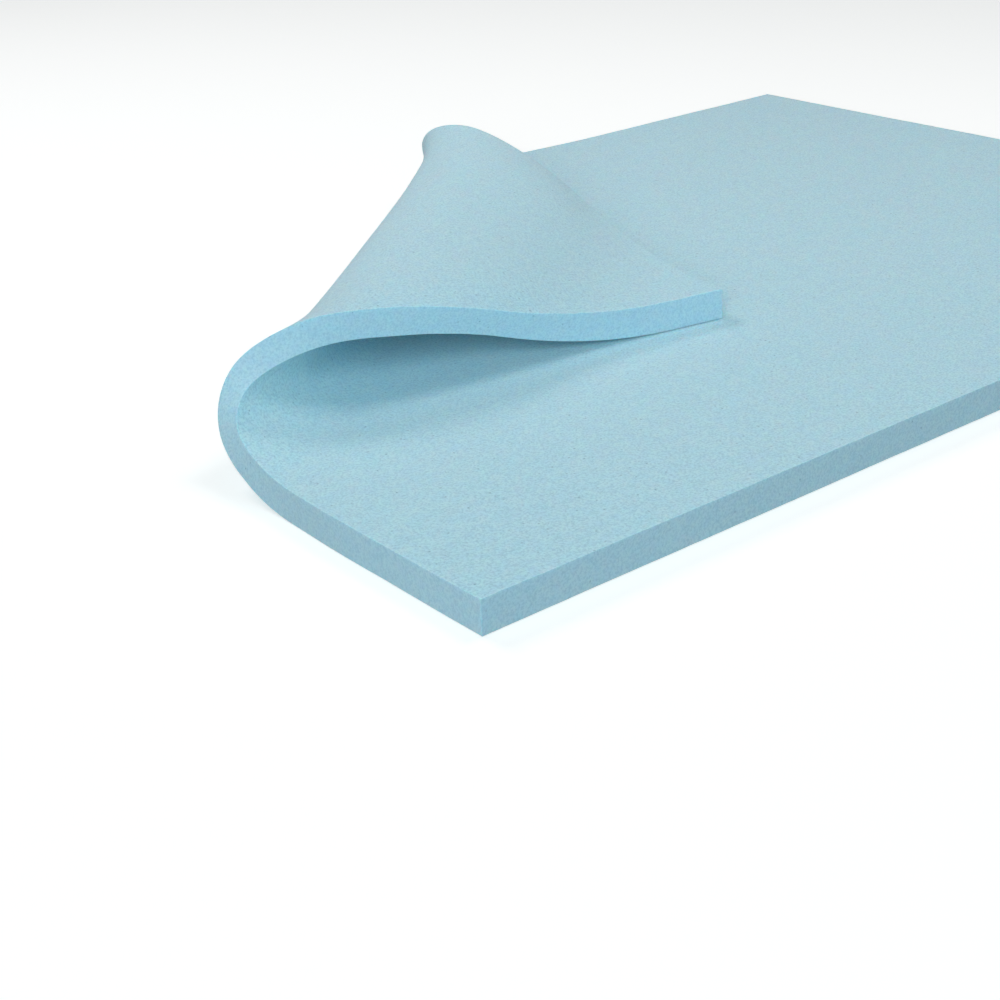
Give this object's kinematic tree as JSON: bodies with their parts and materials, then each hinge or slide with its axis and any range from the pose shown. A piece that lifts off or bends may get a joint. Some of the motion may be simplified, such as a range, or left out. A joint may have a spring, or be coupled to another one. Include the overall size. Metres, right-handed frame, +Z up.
{
  "type": "mattress topper",
  "caption": "Slab of blue memory foam for topping a mattress, lying flat with its far left corner folded diagonally over onto the top.",
  "frame": {"origin": "on the underside, in the middle of the slab's cut outline, where it rests on the surface", "axes": "+X along the long sides, +Y along the short sides towards the side whose left corner is folded over, +Z up"},
  "size_m": [1.905, 1.3906, 0.1799],
  "materials": {
    "foam": "matte open-cell foam, cut faces"
  },
  "bodies": {
    "root": {"foam_slab": "foam"}
  },
  "joints": []
}
